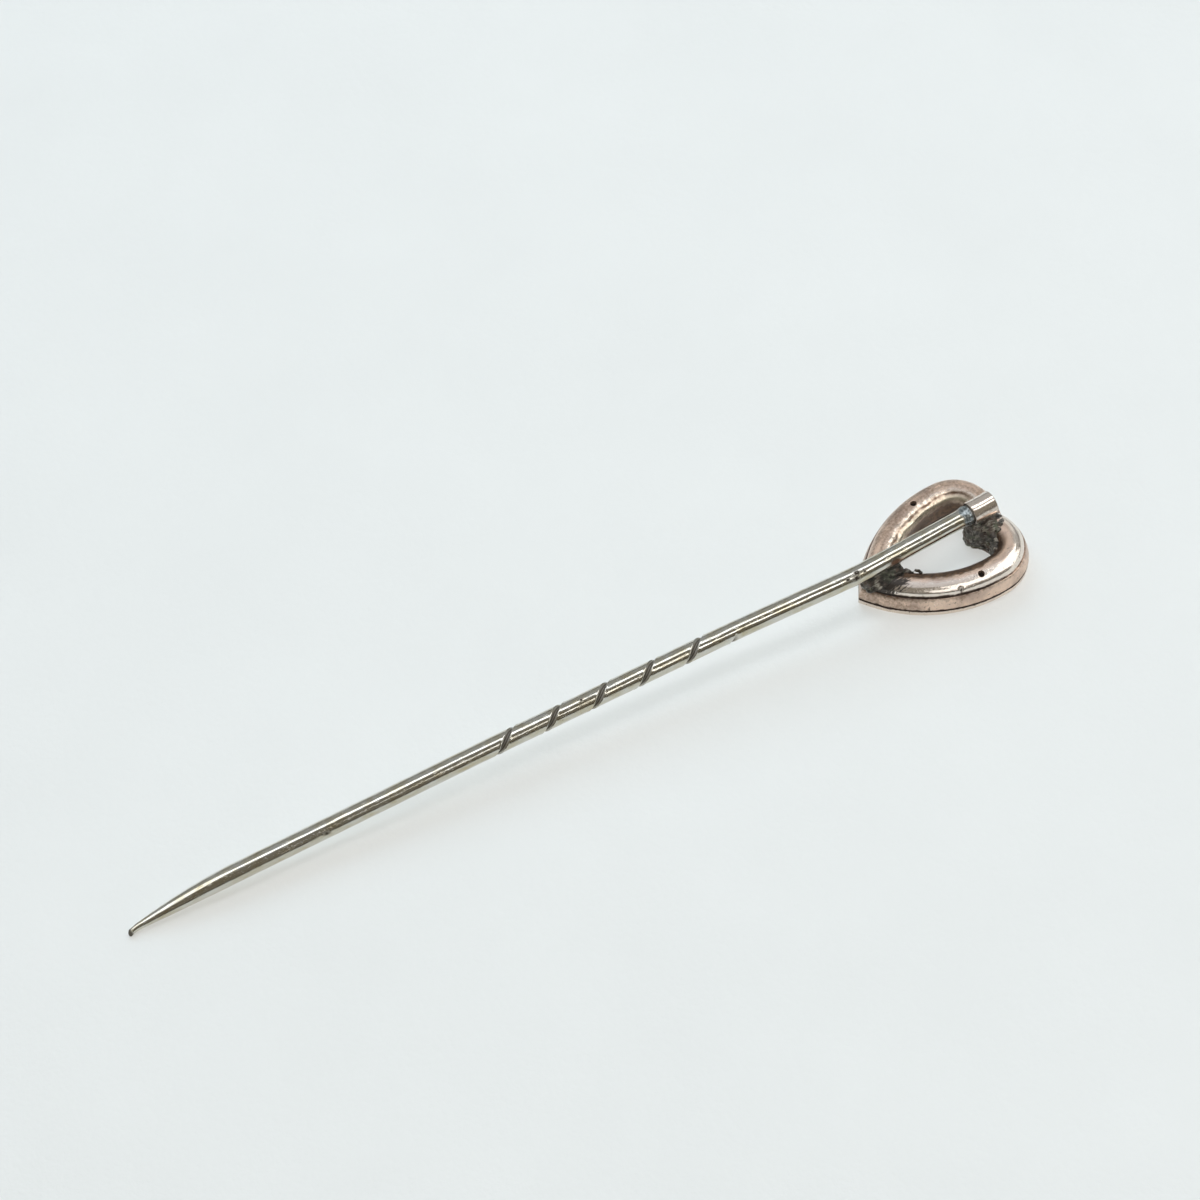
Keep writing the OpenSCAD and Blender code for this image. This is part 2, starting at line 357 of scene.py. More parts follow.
def fade(tree, factor, a, b):
    """Mixes two colours, each a socket or a value, by a factor socket."""
    a, b = (part if is_socket(part) else colour(part) for part in (a, b))
    return node(tree, "Mix", {"Factor": factor, "A": a, "B": b}, data_type="RGBA").outputs["Result"]


def blend(tree, factor, a, b):
    """Mixes two numbers, each a socket or a value, by a factor socket."""
    return node(tree, "Mix", {0: factor, 2: a, 3: b}).outputs[0]


def spread(tree, value, low, high, to_low=0.0, to_high=1.0):
    """Stretches a socket's range from low and high to the two given ends."""
    return node(tree, "MapRange", {"Value": value, "From Min": low, "From Max": high,
                                   "To Min": to_low, "To Max": to_high}).outputs["Result"]


def speckle(tree, where, period, detail=4.0, sharp=0.6, turned=(0, 0, 0), shape=(1, 1, 1)):
    """Noise of a period in millimetres, drawn out along a turned axis."""
    placed = node(tree, "Mapping", {"Vector": where, "Rotation": turned, "Scale": shape})
    return node(tree, "TexNoise", {"Vector": placed.outputs["Vector"], "Scale": 1 / (period * MM),
                                   "Detail": detail, "Roughness": sharp}).outputs["Fac"]


def layer(tree, name):
    return node(tree, "Attribute", attribute_name=name).outputs["Fac"]


def maths(tree, operation, a, b, **settings):
    return node(tree, "Math", {0: a, 1: b}, operation=operation, **settings).outputs["Value"]


def surface(tree, base, roughness, metallic, *bumps):
    """Feeds the shader of a material, and chains its bumps of (height, strength, mm, sunk)."""
    shader = {"Base Color": base, "Roughness": roughness, "Metallic": metallic}
    for height, strength, depth, sunk in bumps:
        inputs = {"Height": height, "Strength": strength, "Distance": depth * MM}
        if "Normal" in shader:
            inputs["Normal"] = shader["Normal"]
        shader["Normal"] = node(tree, "Bump", inputs, invert=sunk).outputs["Normal"]
    plug(tree, tree.nodes["Principled BSDF"], shader)


def rose_gold(colours):
    """Worn 9 carat rose gold, pressed and soldered: satin, with rubbed shoulders painted paler as a
    highlight, a brown film on the inner slopes, dirt and painted shade in the corners and creases,
    pits and fine scratches."""
    material, tree, where = new_material("rose gold, pressed and worn")
    # Pores and scratches are really about 0.02 mm wide, and are drawn wider so that they show.
    cloud = speckle(tree, where, 1.7, 5)
    fleck = speckle(tree, where, 0.2, 5, 0.68)
    pores = speckle(tree, where, 0.11, 2)
    scored = speckle(tree, where, 0.05, 2, 0.5, (0.2, 0.1, 0.5), (1, 0.06, 0.3))
    crossed = speckle(tree, where, 0.05, 2, 0.5, (0.1, 0.3, -0.9), (1, 0.05, 0.3))
    base = fade(tree, spread(tree, cloud, 0.44, 0.66, 0.0, 0.75), colours.rose, colours.rose_dull)
    # Rubbed places are painted paler: partly rub, partly painted highlight.
    base = fade(tree, layer(tree, "rub"), base, colours.rose_rub_and_sheen)
    base = fade(tree, layer(tree, "warm"), base, colours.yellow_wear)
    shift = spread(tree, fleck, 0.3, 0.7, -0.3, 0.3)
    # The film's brown also paints shade in the valleys and on the sleeve's lower half.
    film = spread(tree, maths(tree, "ADD", layer(tree, "film"), shift), 0.15, 0.8)
    brown = fade(tree, spread(tree, fleck, 0.42, 0.6), colours.rose_film_and_shade, colours.rose_thin_film_and_shade)
    base = fade(tree, film, base, brown)
    # Dirt, and painted shade in creases, darken the gold.
    dirt_and_shade = spread(tree, maths(tree, "ADD", layer(tree, "grime"), shift), 0.2, 0.72)
    pit = spread(tree, pores, 0.7, 0.76)
    dark = maths(tree, "MAXIMUM", dirt_and_shade, pit)
    base = fade(tree, dark, base, colours.rose_grime_and_shade)
    hatch = speckle(tree, where, 0.09, 5, 0.75, (0, 0, -0.35), (0.16, 1, 0.3))
    skin = maths(tree, "ADD", layer(tree, "skin"), spread(tree, hatch, 0.3, 0.7, -0.7, 0.7))
    skin = spread(tree, skin, 0.42, 0.58)
    base = fade(tree, skin, base, colours.skin)
    satin = spread(tree, cloud, 0.35, 0.7, 0.26, 0.4)
    satin = blend(tree, layer(tree, "rub"), satin, 0.13)
    satin = blend(tree, film, satin, 0.42)
    metal = blend(tree, film, 0.9, 0.7)
    metal = blend(tree, dark, metal, 0.4)
    surface(tree, base, blend(tree, dark, satin, 0.75), blend(tree, skin, metal, 0.45),
            (spread(tree, scored, 0.6, 0.7), 0.25, 0.008, True),
            (spread(tree, crossed, 0.62, 0.72), 0.25, 0.008, True), (fleck, 0.16, 0.02, False),
            (pit, 0.6, 0.03, True), (speckle(tree, where, 0.9, 2), 0.3, 0.05, False))
    return material


def silver(colours):
    """Drawn silver wire with a thin warm tarnish: a bright polish broken by lengthwise draw marks,
    dark pits, a dark groove and painted shade by the sleeve, and frosted where bright solder covers
    it."""
    material, tree, where = new_material("silver wire, drawn and tarnished", "UV")
    # Draw marks and scratches are really about 0.02 mm wide, and are drawn wider so that they show.
    streak = speckle(tree, where, 0.09, shape=(1, 0.035, 1))
    patch = speckle(tree, where, 0.7, 5, 0.65, shape=(1, 0.47, 1))
    pit = spread(tree, speckle(tree, where, 0.1, 2, shape=(1, 0.6, 1)), 0.68, 0.76)
    scratch = speckle(tree, where, 0.05, 2, 0.5, (0, 0, 0.5), (1, 0.05, 1))
    scratch = spread(tree, scratch, 0.66, 0.72)
    base = fade(tree, spread(tree, patch, 0.4, 0.7), colours.silver, colours.silver_warm)
    base = fade(tree, layer(tree, "stain"), base, colours.silver_stain)
    dark = maths(tree, "MAXIMUM", pit, layer(tree, "grime"), use_clamp=True)
    base = fade(tree, dark, base, colours.silver_grime_and_shade)
    tin = layer(tree, "tin")
    frost = speckle(tree, where, 0.12, 4, 0.7)
    bright = fade(tree, spread(tree, frost, 0.4, 0.6), colours.tin, colours.tin_dark)
    satin = blend(tree, dark, spread(tree, patch, 0.3, 0.7, 0.07, 0.16), 0.7)
    satin = blend(tree, layer(tree, "stain"), satin, 0.4)
    surface(tree, fade(tree, tin, base, bright), blend(tree, tin, satin, 0.3),
            spread(tree, dark, 0, 1, 1.0, 0.5),
            (streak, 0.45, 0.016, False), (scratch, 0.3, 0.01, True), (pit, 0.5, 0.02, True),
            (blend(tree, tin, 0.5, frost), 0.6, 0.03, False))
    return material


def oxidised_solder(colours):
    """Old lead solder under black oxide: a rough dark crust in brown and green, with grey streaks
    where it is worn that also stand for glints, patches of painted shade, and a dull gleam."""
    material, tree, where = new_material("solder, oxidised")
    grain = speckle(tree, where, 0.35, 6, 0.7)
    patch = speckle(tree, where, 0.9, 3)
    streak = speckle(tree, where, 0.13, 4, 0.65, (0, 0, 0.6), (0.25, 1, 0.6))
    base = fade(tree, spread(tree, patch, 0.45, 0.6), colours.oxide_brown, colours.oxide)
    green = speckle(tree, where, 0.5, 4, 0.6, (0, 0, 0.9), (1, 0.4, 1))
    base = fade(tree, spread(tree, green, 0.52, 0.62), base, colours.oxide_green)
    base = fade(tree, spread(tree, grain, 0.5, 0.36), base, colours.oxide_deep_and_shade)
    # Worn streaks, painted lighter as glints too.
    worn_and_glint = spread(tree, streak, 0.53, 0.66)
    base = fade(tree, worn_and_glint, base, colours.oxide_wear_and_glint)
    # Patches painted darker as shade.
    base = fade(tree, layer(tree, "soot"), base, colours.oxide_deep_and_shade)
    surface(tree, base, spread(tree, worn_and_glint, 0, 1, 0.5, 0.25), 0.5,
            (streak, 0.7, 0.04, False), (grain, 0.9, 0.14, False))
    return material


def pale_board(colours):
    """A pale matt board, barely mottled, with a fine grain."""
    material, tree, where = new_material("board, pale and matt")
    shade = spread(tree, speckle(tree, where, 14, 3), 0.3, 0.7, 0.975, 1.0)
    tone = node(tree, "Mix", {"Factor": 1.0, "A": colour(colours.floor), "B": shade},
                data_type="RGBA", blend_type="MULTIPLY").outputs["Result"]
    surface(tree, tone, 0.7, 0.0, (speckle(tree, where, 0.5, 4, 0.7), 0.5, 0.05, False))
    return material


# The materials by their slots, and the floor's. Filled by main before the pieces are made.
MATERIALS = {}


# Pieces

def from_groove(s, start, at, a):
    """Distance of a place on the wire from the groove's middle, as a share of its half width."""
    pitch = mm(s, "groove_pitch")
    phase = s.groove_phase - math.tau * (at - start) / pitch
    off = (a - phase + math.pi) % math.tau - math.pi
    return abs(off) / math.tau * pitch / (mm(s, "groove_w") / 2)


# Dark marks on the wire, as (place along it in mm, turn round it, half length, half width in mm),
# and the brown stain over the solder, as (place, turn, half length, half turn).
MARKS = ((46.85, 1.94, 0.16, 0.13), (46.7, 2.41, 0.2, 0.12), (46.2, 2.2, 0.1, 0.08),
         (47.3, 2.05, 0.07, 0.1), (12.4, 2.6, 0.09, 0.1), (28.9, 1.7, 0.07, 0.09))
STAIN = (49.3, 2.85, 0.35, 0.4)


class PIN_OT_stem(bpy.types.Operator):
    """Silver shank with its point, groove, bends and the bead of bright solder"""

    bl_idname = "pin.stem"
    bl_label = "Stem"

    def execute(self, context):
        s = context.scene.pin_stem_sizes
        lay = Layout(context)
        lengths = [0.0]
        for a, b in zip(lay.path, lay.path[1:]):
            lengths.append(lengths[-1] + (b - a).length)
        total, heart_at = lengths[-1], lengths[3]

        def straight(at):
            at = min(max(at, 0), total)
            for i in range(1, len(lengths)):
                if at <= lengths[i] or i == len(lengths) - 1:
                    t = (at - lengths[i - 1]) / (lengths[i] - lengths[i - 1])
                    return lay.path[i - 1].lerp(lay.path[i], t)

        half = mm(s, "bend_soft") / 2

        def centre(at):
            """The straight stretches averaged over a short length, which softens the bends."""
            if at < half or at > total - half:
                return straight(at)
            steps = [straight(at + half * (k / 4 - 1)) for k in range(9)]
            return sum(steps, Vector()) / 9

        taper = mm(s, "taper_len")
        tip_drop = mm(s, "axis_at_tip") - lay.tip_r
        side, bulb, bead = (mm(s, k) for k in ("tip_side", "tip_bulb", "bead_h"))

        def thickness(at):
            t = min(at / taper, 1)
            return lay.tip_r + (lay.shank_r - lay.tip_r) * math.sin(math.pi / 2 * t)

        def lean(at):
            return (lay.shank_r - thickness(at)) / (lay.shank_r - lay.tip_r)

        groove_from, groove_len = lay.groove[0] / math.cos(lay.slope), lay.groove[1]
        groove_to = groove_from + groove_len
        bead_at = heart_at + lay.sleeve_at - mm(s, "bead_gap")

        def radius(at, a):
            r = thickness(max(at, 0))
            if at < lay.tip_r:
                r *= math.sqrt(max(1 - (1 - max(at, 0) / lay.tip_r) ** 2, 0.0004))
            t = (at - groove_from) / groove_len
            # The groove has a flat floor, steep sides and a low lip, and runs out at its ends.
            if -0.05 < t < 1.05:
                off = from_groove(s, groove_from, at, a)
                ends = soft_step(-0.01, 0.02, t) * (1 - soft_step(0.96, 1.005, t))
                lip = 0.1 * bump(off, 1.2, 0.18)
                r -= mm(s, "groove_depth") * (1 - soft_step(0.62, 1.05, off) - lip) * ends
            r += bulb * bump(at, 0.14, 0.13)
            lump = 0.7 + 0.5 * rough((math.cos(a), math.sin(a), at), 0.35, 2.7)
            r += bead * bump(at, bead_at - 0.2, mm(s, "bead_len")) * lump
            return r

        # Stretches of the wire as (start, end, step): close rings at the tip, groove, marks and bead.
        stretches = ((0.0, 0.3, 0.02), (0.3, taper, 0.1), (taper, groove_from - 0.3, 0.3),
                     (groove_from - 0.3, groove_to + 0.3, 0.035), (groove_to + 0.3, 45.9, 0.15),
                     (45.9, 47.6, 0.03), (47.6, bead_at - 0.8, 0.12),
                     (bead_at - 0.8, bead_at + 0.3, 0.03), (bead_at + 0.3, total, 0.2))
        rings = []
        for start, end, step in stretches:
            n = max(int((end - start) / step), 1)
            rings.extend(start + (end - start) * i / n for i in range(n))
        rings.append(total)

        stations = []
        for at in rings:
            c = centre(at)
            along = (centre(min(at + 0.05, total)) - centre(max(at - 0.05, 0))).normalized()
            if at < taper:
                hook = mm(s, "hook") * (1 - min(at / mm(s, "hook_len"), 1)) ** 2
                c = c - Vector((0, side * lean(at) + hook, tip_drop * lean(at)))
            stations.append((c, along, at))
        bm = bmesh.new()
        tube(bm, stations, 72, radius)
        self.paint(bm, s, lay, groove_from, groove_len, bead_at)
        finish(bm, "stem", "silver", "pin_stem")
        return {"FINISHED"}

    @staticmethod
    def paint(bm, s, lay, groove_from, groove_len, bead_at):
        """Writes the dirt and painted shade, bright solder, stain and lengthwise map from places on
        the wire.
        """
        angle, reach = bm.verts.layers.float["angle"], bm.verts.layers.float["reach"]
        grime, tin, stain = new_layers(bm, "grime", "tin", "stain")
        for v in bm.verts:
            at, a = v[reach], v[angle]
            t = (at - groove_from) / groove_len
            dark = 0.0
            if -0.01 < t < 1.01:
                off = from_groove(s, groove_from, at, a)
                # Tarnish darkens the groove; a lighter line down its middle is a painted reflection.
                dark = (1 - soft_step(0.6, 1.0, off)) * (1 - 0.3 * bump(off, 0.12, 0.16))
                dark *= 1 - soft_step(0.97, 1.0, t)
            # Painted shade behind the bead at the sleeve's mouth, and dark on the tip.
            dark = max(dark, 0.9 * bump(at, bead_at + 0.08, 0.05))
            dark = max(dark, 0.85 * (1 - soft_step(0.16, 0.34, at)))
            # The bead's ragged edge; beyond it the wire's underside is painted shade.
            edge = bead_at - 0.62 + 0.2 * rough((math.cos(a), math.sin(a), 0), 0.5, 1.4)
            on = soft_step(edge, edge + 0.08, at) * (1 - soft_step(bead_at, bead_at + 0.06, at))
            upper = soft_step(-0.55, -0.2, math.sin(a))
            v[tin] = on * upper
            if at > edge:
                dark = max(dark, 0.85 * (1 - upper))
            dark = max(dark, 0.6 * bump(at, edge, 0.035) * upper)
            ragged = 0.85 + 1.1 * rough((math.cos(a), math.sin(a), at), 0.12, 7.7)
            for place, round_at, long, broad in MARKS:
                near = bump(at, place, long) * bump(a, round_at, broad / lay.shank_r)
                dark = max(dark, min(1, 2.2 * ragged * near))
            v[grime] = dark
            place, round_at, long, broad = STAIN
            v[stain] = min(1, (0.9 + ragged) * bump(at, place, long) * bump(a, round_at, broad))
        uv = bm.loops.layers.uv.new("UVMap")
        for face in bm.faces:
            angles = [loop.vert[angle] for loop in face.loops]
            wrap = max(angles) - min(angles) > math.pi
            for loop in face.loops:
                a = loop.vert[angle]
                if wrap and a < 0:
                    a += math.tau
                loop[uv].uv = (a * lay.shank_r * MM, loop.vert[reach] * MM)


def sweep_half(bm, lay, profile):
    """Sweeps a closed section, as rows of (inset, height), round half of the heart."""
    steps = 150
    inset, = new_layers(bm, "inset")
    # The sweep starts a little beyond the heart's axis, so that the cut on the axis is clean.
    start = lay.start + 0.1
    out = Vector((math.cos(start), math.sin(start), 0))
    side = Vector((*lay.side, 0))
    geom = closed_line(bm, [side + out * (lay.side_r - u) + Vector((0, 0, z)) for u, z in profile])
    for v, (u, _) in zip(geom, profile):
        v[inset] = u
    swept = bmesh.ops.spin(
        bm, geom=geom, cent=side, axis=(0, 0, -1), dvec=(0, 0, 0),
        angle=start - lay.blend, steps=steps, use_merge=False)
    bmesh.ops.spin(
        bm, geom=swept["geom_last"], cent=Vector((*lay.lobe, 0)), axis=(0, 0, -1),
        dvec=(0, 0, 0), angle=lay.blend - lay.cleft, steps=steps * 2 // 3, use_merge=False)
    return inset


def close_heart(bm):
    """Cuts the swept half on the heart's axis and mirrors it."""
    cut = bm.verts[:] + bm.edges[:] + bm.faces[:]
    bmesh.ops.bisect_plane(
        bm, geom=cut, dist=1e-5, plane_co=(0, 0, 0), plane_no=(0, -1, 0), clear_outer=True)
    near_cut = 0.003
    for v in bm.verts:
        if abs(v.co.y) < near_cut:
            v.co.y = 0
    bmesh.ops.mirror(bm, geom=bm.verts[:] + bm.edges[:] + bm.faces[:], matrix=Matrix.Identity(4),
                     merge_dist=0.001, axis="Y")
    weld(bm)


def pull_cleft(bm, lay, inset, ring_w):
    """Draws the inner side of the lobes in to the heart's inner cleft."""
    inner_r = lay.lobe_r - ring_w
    tip = Vector((lay.lobe.x - 0.02, 0.0))
    pull_from = 0.5
    for v in bm.verts:
        flat = v.co.xy - lay.lobe
        a = math.atan2(flat.y, flat.x)
        if v.co.x < lay.lobe.x or a > pull_from:
            continue
        natural = lay.lobe + inner_r * Vector((math.cos(a), math.sin(a)))
        t = min(max((pull_from - a) / (pull_from - lay.cleft), 0), 1) ** 2.2
        depth = v[inset] / ring_w
        v.co.xy += (natural.lerp(tip, t) - natural) * depth ** 1.6


def swept_heart(lay, profile, ring_w):
    """Makes a ring of the heart from its section, with a number for each point's inset."""
    bm = bmesh.new()
    inset = sweep_half(bm, lay, profile)
    pull_cleft(bm, lay, inset, ring_w)
    close_heart(bm)
    return bm, inset


# Pits in the near side, as (x, y, spread) in the heart's plan, and the vents, as (x, y).
PITS = ((0.75, -1.32, 0.012), (1.9, -2.35, 0.006), (3.0, -3.02, 0.008), (4.95, -3.46, 0.014),
        (5.9, -3.86, 0.006))
VENTS = ((5.93, 3.05), (6.41, -3.36))


def pits_by(p):
    """Spread of each pit and how far off it a place is. Those on the side band stay off the dome."""
    for x, y, r in PITS:
        if p.z < 1.3 or y < -3.4:
            yield r, ((p.x - x) ** 2 + (p.y - y) ** 2) / r


class PIN_OT_heart_back(bpy.types.Operator):
    """Domed hollow back of the heart, with its side band, vents and dents"""

    bl_idname = "pin.heart_back"
    bl_label = "Heart back"

    def execute(self, context):
        h = context.scene.pin_heart_sizes
        lay = Layout(context)
        # The seam is drawn a little wider than it is, so that its shadow shows.
        base = mm(h, "rim_h") + mm(h, "seam") + 0.015
        ridge, lean, ring_w = mm(h, "ridge_h"), mm(h, "ridge_in"), mm(h, "ring_w")
        dome_r, dome_in, wall = mm(h, "dome_r"), mm(h, "dome_in"), mm(h, "wall")
        crown = ridge - 0.06
        # The rounded lower edge, and the side band, which is slightly hollow.
        profile = [(0.1, base), (0.05, base + 0.012), (0.015, base + 0.035), (0.0, base + 0.08)]
        for k in range(1, 7):
            t = k / 7
            profile.append((lean * 0.85 * t - 0.012 * math.sin(math.pi * t),
                            base + 0.08 + (ridge - 0.14 - base) * t))
        # The ridge, and the sharp valley between it and the dome.
        profile += [(lean - 0.035, ridge - 0.045), (lean - 0.01, ridge - 0.012),
                    (lean + 0.02, ridge), (lean + 0.05, ridge - 0.02),
                    (lean + 0.08, ridge - 0.075), (lean + 0.09, ridge - 0.03)]
        # The dome, and the inner side down to the front.
        profile += arc(dome_in, crown, dome_r, 168, 0, 52)
        for k in range(1, 6):
            t = k / 6
            profile.append((dome_in + dome_r + (ring_w - dome_in - dome_r) * t,
                            crown + (base - crown) * t))
        # The front edge, and the inside of the hollow shell.
        profile += [(ring_w, base), (ring_w - wall, base)]
        profile += arc(dome_in, crown, dome_r - wall, 0, 180, 14)
        profile.append((wall, base))
        bm, inset = swept_heart(lay, profile, ring_w)
        self.dent(bm, inset, dome_in)
        layers = new_layers(bm, "grime", "film", "rub", "warm", "skin")
        for v in bm.verts:
            amounts = self.wear(v.co, v[inset], base, ridge, lean, dome_in)
            for made, amount in zip(layers, amounts):
                v[made] = amount
        piece = finish(bm, "heart_back_shell", "rose_gold", "heart_back", lay.heart)
        self.drill(piece, lay, mm(h, "vent_d") / 2)
        return {"FINISHED"}

    @staticmethod
    def dent(bm, inset, dome_in):
        """Small dents, the rough lip on the far side's inner edge and the unevenness of hand work."""
        bm.normal_update()
        for v in bm.verts:
            p, u = v.co.copy(), v[inset]
            lift = 0.0
            if p.z > 0.6:
                lift += 0.016 * rough(p, 1.8, 3.1)
            # The far side's lip, with a groove before it and small waves on the inner slope.
            if p.z > 1.5 and p.y > 0.35 and p.x < 9.6:
                ragged = 0.8 + 0.7 * rough(p, 1.0, 6.4)
                shift = 0.05 * rough(p, 0.6, 1.1)
                lift += ragged * (0.035 * bump(u + shift, dome_in + 0.68, 0.08)
                                  - 0.035 * bump(u + shift, dome_in + 0.48, 0.1))
                waves = soft_step(dome_in, dome_in + 0.25, u)
                waves *= 1 - 0.7 * soft_step(5.5, 7.5, p.x)
                lift += 0.032 * waves * rough(p, 0.34, 9.2)
            if p.z > 0.6:
                for r, away in pits_by(p):
                    lift -= 0.5 * math.sqrt(r) * math.exp(-away)
            v.co += v.normal * lift
            v.co.xy += p.xy.normalized() * 0.012 * rough((p.x, p.y, p.z * 0.4), 1.3, 8.4)

    @staticmethod
    def wear(p, inset, base, ridge, lean, dome_in):
        """How much dirt and painted shade, brown film and painted shade, rub and painted highlight,
        yellow and solder skin a place on the shell has.
        """
        uneven = rough(p, 0.5, 3.3)
        patchy = rough(p, 1.3, 2.8)
        # Dirt in the seam; painted shade in the valley at the dome's foot, less so round the lobes.
        seam = 1 - soft_step(0.02, 0.1, p.z - base + 0.07 * uneven)
        foot = 0.0
        if inset < dome_in and p.z > ridge - 0.2:
            foot = 0.9 * soft_step(lean - 0.03, lean + 0.02, inset + 0.02 * uneven)
            foot *= 1 - soft_step(0.1, 0.24, p.z - ridge + 0.06 * uneven)
            foot *= 1 - 0.6 * soft_step(6.3, 8.6, p.x)
        # Film on the inner slopes, all over on the near side; on the far side the dark line before
        # the lip is painted shade.
        if p.y > 0:
            film = soft_step(0.76, 0.88, inset - dome_in)
            valley = dome_in + 0.47 + 0.07 * uneven + 0.05 * patchy
            film = max(film, (0.75 + 0.4 * uneven) * bump(inset, valley, 0.09),
                       (0.3 + 0.3 * patchy) * soft_step(0.3, 0.6, inset),
                       0.45 * bump(inset, dome_in - 0.05, 0.16))
        else:
            start = 0.4 * soft_step(6.3, 8.3, p.x)
            film = soft_step(start - 0.1, start + 0.24, inset - dome_in + 0.14 * uneven)
        # On the side band it is patchy, and thicker under the ridge and near the point.
        if inset < lean + 0.02:
            film = max(0, 0.4 * patchy) + 0.4 * soft_step(ridge - 0.3, ridge - 0.03, p.z)
            film += 0.35 * (1 - soft_step(1.2, 3.4, p.x))
        # The near side's outer slope is rubbed, and the far side's crest and yellow lip; the rubbed
        # places are painted paler, partly as a painted highlight.
        rub = warm = 0.0
        if p.z > ridge + 0.05:
            if p.y < 0.4:
                rub = soft_step(0.02, 0.3, dome_in - inset + 0.1 * uneven)
            else:
                rub = bump(inset, dome_in + 0.27 + 0.1 * uneven, 0.1) * (0.85 + patchy)
                rub = max(0, rub, (0.4 + patchy) * bump(inset, dome_in + 0.69, 0.05))
                warm = 1.2 * bump(inset, dome_in + 0.68, 0.12)
                warm += 0.3 * bump(inset, dome_in + 0.4, 0.3)
        # Solder is smeared over the near side at the point.
        skin = 0.0
        if inset > lean + 0.05 and p.y < 0.3:
            skin = soft_step(-0.35, 0.3, p.y + 0.98 + 0.3 * p.x + 0.12 * uneven)
            skin *= 1 - soft_step(1.9, 3.0, p.x + 0.3 * uneven)
        # Darker low on the far side's inner wall, and in the pits.
        deep = 0.0
        if p.y > 0:
            deep = (0.5 + patchy) * soft_step(0.82, 0.95, inset - dome_in)
        for _, away in pits_by(p):
            deep = max(deep, 0.9 * math.exp(-1.6 * away))
        # The foot's painted shade goes into both the dirt and the film.
        return max(seam, 0.62 * foot, deep), max(film, foot), rub, 0.7 * warm, skin

    @staticmethod
    def drill(piece, lay, r):
        """Cuts the two vent holes straight down through the wall."""
        bm = bmesh.new()
        for x, y in VENTS:
            place = lay.heart @ Matrix.Translation((x, y, 2.0))
            bmesh.ops.create_cone(bm, cap_ends=True, segments=32, radius1=r, radius2=r, depth=1.0,
                                  matrix=place)
        bm.transform(Matrix.Scale(MM, 4))
        drills = new_object(bm, "vents")
        cut = piece.modifiers.new("vents", "BOOLEAN")
        cut.object, cut.operation, cut.solver = drills, "DIFFERENCE", "EXACT"
        apply_modifiers(piece)
        bpy.data.objects.remove(drills)


def apply_modifiers(piece):
    """Keeps the shape that a piece's modifiers give, and drops the modifiers."""
    graph = bpy.context.evaluated_depsgraph_get()
    graph.update()
    mesh = bpy.data.meshes.new_from_object(piece.evaluated_get(graph))
    piece.modifiers.clear()
    old = piece.data
    piece.data = mesh
    name = old.name
    bpy.data.meshes.remove(old)
    mesh.name = name


class PIN_OT_heart_front(bpy.types.Operator):
    """Flat front rim on which the heart lies"""

    bl_idname = "pin.heart_front"
    bl_label = "Heart front"

    def execute(self, context):
        h = context.scene.pin_heart_sizes
        lay = Layout(context)
        top, ring_w = mm(h, "rim_h"), mm(h, "ring_w")
        # Round lower edges, small round upper ones.
        r = 0.14
        profile = arc(r, r, r, 270, 180, 6)
        profile += [(0.0, 0.28), (0.0, top - 0.1), (0.015, top - 0.05), (0.05, top - 0.02),
                    (0.1, top)]
        profile += [(ring_w - 0.04, top), (ring_w, top - 0.04), (ring_w, 0.3)]
        profile += arc(ring_w - r, r, r, 0, -90, 6)
        bm, inset = swept_heart(lay, profile, ring_w)
        grime, film, rub = new_layers(bm, "grime", "film", "rub")
        for v in bm.verts:
            p = v.co
            wave = rough((p.x, p.y, 0), 1.1, 5.2)
            v.co.xy -= p.xy.normalized() * (0.012 + 0.012 * wave)
            v[grime] = soft_step(top - 0.11, top - 0.05, p.z + 0.04 * wave)
            v[film] = soft_step(ring_w * 0.55, ring_w * 0.65, v[inset])
            # The outer edge is rubbed and painted paler, partly as a painted sheen.
            v[rub] = 0.7 * (1 - soft_step(0.1, 0.3, v[inset]))
        finish(bm, "heart_front_rim", "rose_gold", "heart_front", lay.heart)
        return {"FINISHED"}


